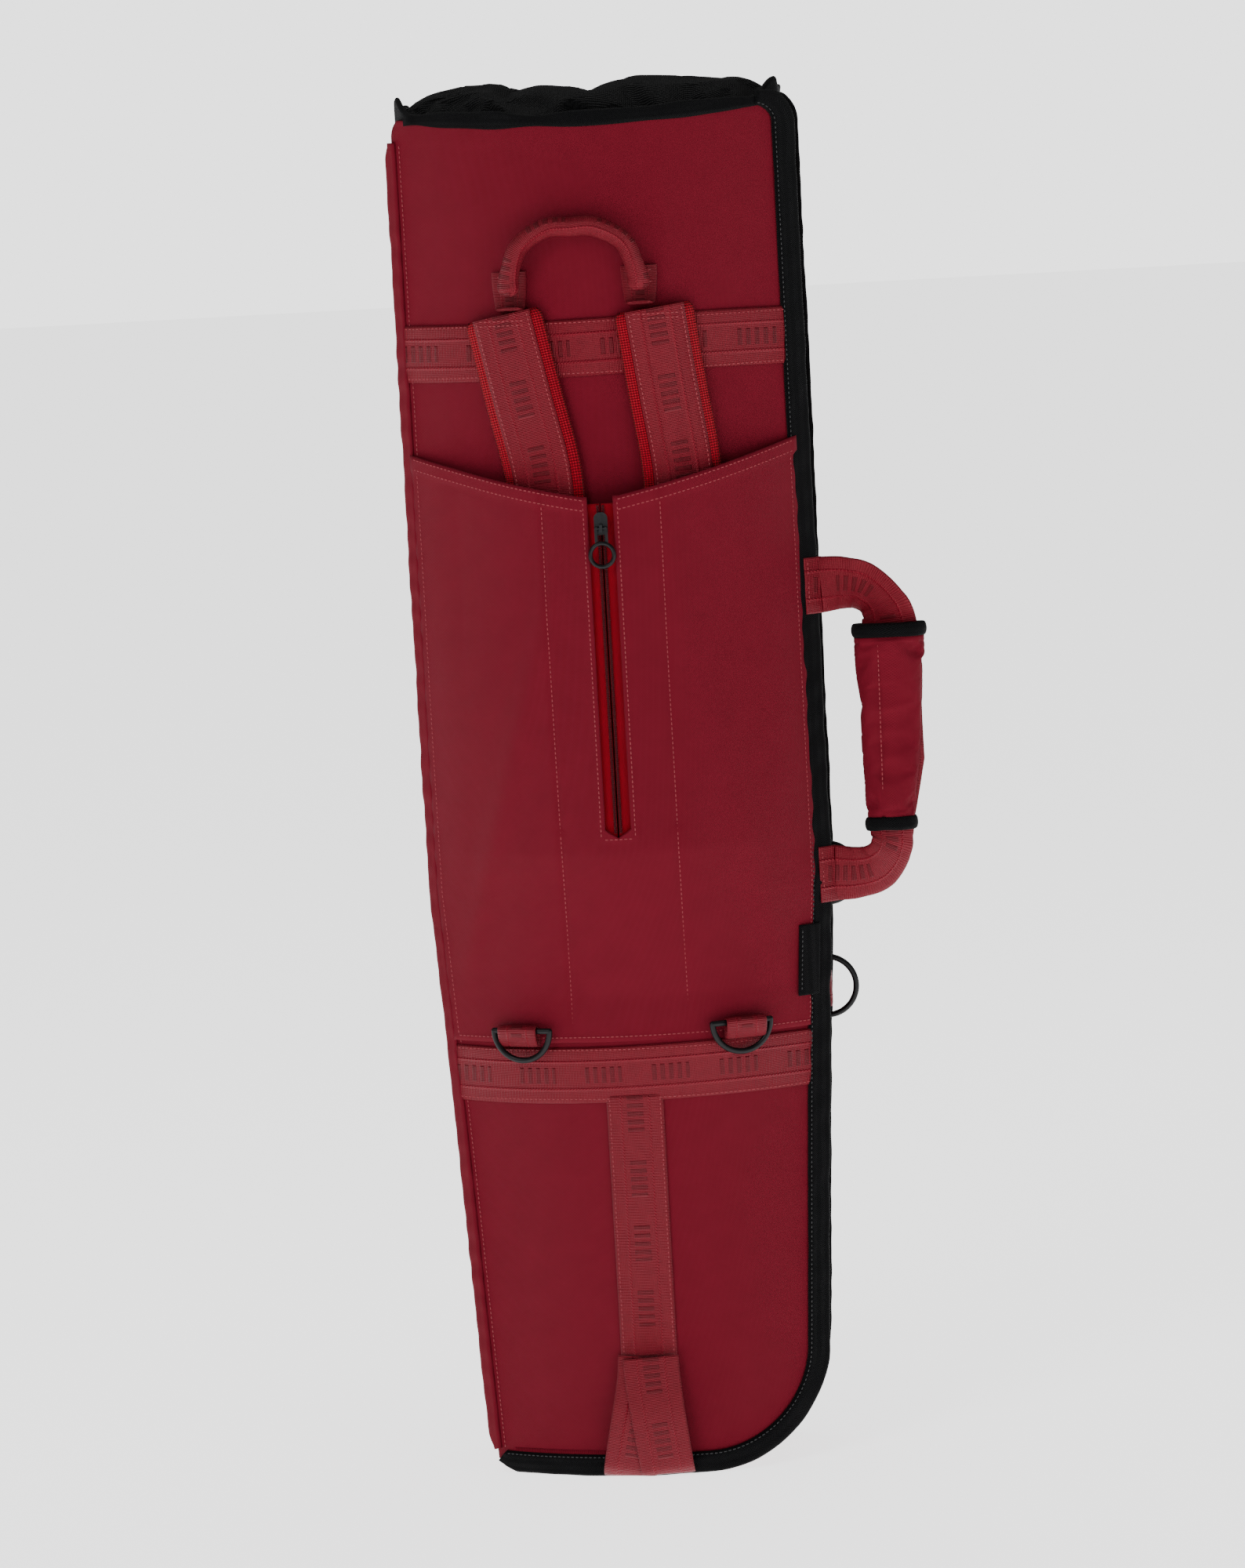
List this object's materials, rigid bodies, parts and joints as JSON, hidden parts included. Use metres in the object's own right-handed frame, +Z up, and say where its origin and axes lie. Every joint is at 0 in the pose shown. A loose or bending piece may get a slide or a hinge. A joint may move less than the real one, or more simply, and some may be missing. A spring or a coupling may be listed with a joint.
{
  "type": "padded instrument gig bag",
  "caption": "Padded backpack gig bag for a long brass instrument: zipped clamshell, strap pocket, carry handles and D-rings.",
  "frame": {"origin": "middle of the bottom grab strap's resting face, on the floor, under the middle of the bag's narrow end", "axes": "+Z up the bag's length, +X towards the padded carry handle, -Y out of the wearer's side"},
  "size_m": [0.3442, 0.2254, 0.934],
  "materials": {
    "twill_red": "matte",
    "webbing_red": "satin",
    "metal_black": "gloss",
    "slider_black": "satin",
    "foam": "matte",
    "lining": "matte",
    "mesh_black": "matte",
    "binding_black": "matte",
    "label_black": "satin",
    "zip_tape_red": "matte",
    "zip_chain_black": "satin",
    "spacer_mesh_red": "matte",
    "buckle_black": "satin",
    "cord_core": "matte"
  },
  "bodies": {
    "bag_back": {"back_binding": "binding_black", "back_gusset_fabric": "twill_red", "back_gusset_foam": "foam", "back_lining": "lining", "back_panel_fabric": "twill_red", "back_panel_foam": "foam", "back_ring_tab_left": "webbing_red", "back_ring_tab_right": "webbing_red", "bottom_grab_strap": "webbing_red", "cap_binding": "binding_black", "centre_strip": "webbing_red", "handle_tab_high": "webbing_red", "handle_tab_low": "webbing_red", "hinge_side_fold": "twill_red", "ladder_lock_left": "buckle_black", "ladder_lock_right": "buckle_black", "lower_band": "webbing_red", "main_chain_back": "zip_chain_black", "main_tape_back": "zip_tape_red", "pocket_panel": "twill_red", "pocket_zip_left": "zip_tape_red", "pocket_zip_right": "zip_tape_red", "side_label": "label_black", "side_ring_tab_lower": "webbing_red", "side_ring_tab_upper": "webbing_red", "snap_hook_left": "buckle_black", "snap_hook_right": "buckle_black", "strap_pad_left": "spacer_mesh_red", "strap_pad_right": "spacer_mesh_red", "strap_tail_left": "webbing_red", "strap_tail_right": "webbing_red", "strap_webbing_left": "webbing_red", "strap_webbing_right": "webbing_red", "top_cap_mesh": "mesh_black", "top_handle_tabs": "webbing_red", "upper_band": "webbing_red"},
    "lid": {"lid_binding": "binding_black", "lid_gusset_fabric": "twill_red", "lid_gusset_foam": "foam", "lid_lining": "lining", "lid_panel_fabric": "twill_red", "lid_panel_foam": "foam", "main_tape_lid": "zip_tape_red", "main_chain_lid": "zip_chain_black"},
    "main_slider_upper": {"main_slider_upper": "slider_black"},
    "main_slider_lower": {"main_slider_lower": "slider_black"},
    "main_pull_upper": {"main_pull_upper": "slider_black"},
    "main_pull_lower": {"main_pull_lower": "slider_black"},
    "pocket_slider": {"pocket_slider": "slider_black"},
    "pocket_pull": {"pocket_pull": "slider_black"},
    "back_ring_left": {"back_ring_left": "metal_black"},
    "back_ring_right": {"back_ring_right": "metal_black"},
    "side_ring_upper": {"side_ring_upper": "metal_black"},
    "side_ring_lower": {"side_ring_lower": "metal_black"},
    "top_handle": {"top_handle_roll": "webbing_red", "top_handle_core": "cord_core"},
    "side_handle": {"handle_webbing": "webbing_red", "grip_sleeve": "twill_red", "grip_binding_low": "binding_black", "grip_binding_high": "binding_black"}
  },
  "joints": [
    {"name": "lid_hinge", "type": "hinge", "parent": "bag_back", "child": "lid", "pos_m": [-0.13, 0.06001, 0.4], "axis": [0, 0.0816, 0.9967], "range_deg": [0, 140]},
    {"name": "main_slider_upper_slide", "type": "slide", "parent": "bag_back", "child": "main_slider_upper", "axis": [0, 0.0816, 0.9967], "range_m": [0, 0.235]},
    {"name": "main_slider_lower_slide", "type": "slide", "parent": "bag_back", "child": "main_slider_lower", "axis": [0, -0.0816, -0.9967], "range_m": [0, 0.15]},
    {"name": "main_pull_upper_hinge", "type": "hinge", "parent": "main_slider_upper", "child": "main_pull_upper", "pos_m": [0.1351, 0.08073, 0.65299], "axis": [0, -0.9967, 0.0816], "range_deg": [0, 150]},
    {"name": "main_pull_lower_hinge", "type": "hinge", "parent": "main_slider_lower", "child": "main_pull_lower", "pos_m": [0.1351, 0.07664, 0.60301], "axis": [0, -0.9967, 0.0816], "range_deg": [0, 150]},
    {"name": "pocket_slider_slide", "type": "slide", "parent": "bag_back", "child": "pocket_slider", "axis": [0, 0, -1], "range_m": [0, 0.195]},
    {"name": "pocket_pull_hinge", "type": "hinge", "parent": "pocket_slider", "child": "pocket_pull", "pos_m": [0, -0.0461, 0.647], "axis": [-1, 0, 0], "range_deg": [0, 150]},
    {"name": "back_ring_left_hinge", "type": "hinge", "parent": "bag_back", "child": "back_ring_left", "pos_m": [-0.07424, -0.0208, 0.309], "axis": [-0.9474, 0.32, 0], "range_deg": [0, 140]},
    {"name": "back_ring_right_hinge", "type": "hinge", "parent": "bag_back", "child": "back_ring_right", "pos_m": [0.07424, -0.0208, 0.309], "axis": [-0.9474, -0.32, 0], "range_deg": [0, 140]},
    {"name": "side_ring_upper_hinge", "type": "hinge", "parent": "bag_back", "child": "side_ring_upper", "pos_m": [0.13489, 0.044, 0.398], "axis": [0, 0, 1], "range_deg": [-30, 70]},
    {"name": "side_ring_lower_hinge", "type": "hinge", "parent": "bag_back", "child": "side_ring_lower", "pos_m": [0.1307, 0.044, 0.32], "axis": [0, 0, 1], "range_deg": [-30, 70]},
    {"name": "top_handle_hinge", "type": "hinge", "parent": "bag_back", "child": "top_handle", "pos_m": [-0.01, -0.0365, 0.802], "axis": [1, 0, 0], "range_deg": [0, 90]},
    {"name": "side_handle_hinge", "type": "hinge", "parent": "bag_back", "child": "side_handle", "pos_m": [0.1405, 0.02047, 0.499], "axis": [0, 0, 1], "range_deg": [-70, 28]}
  ]
}
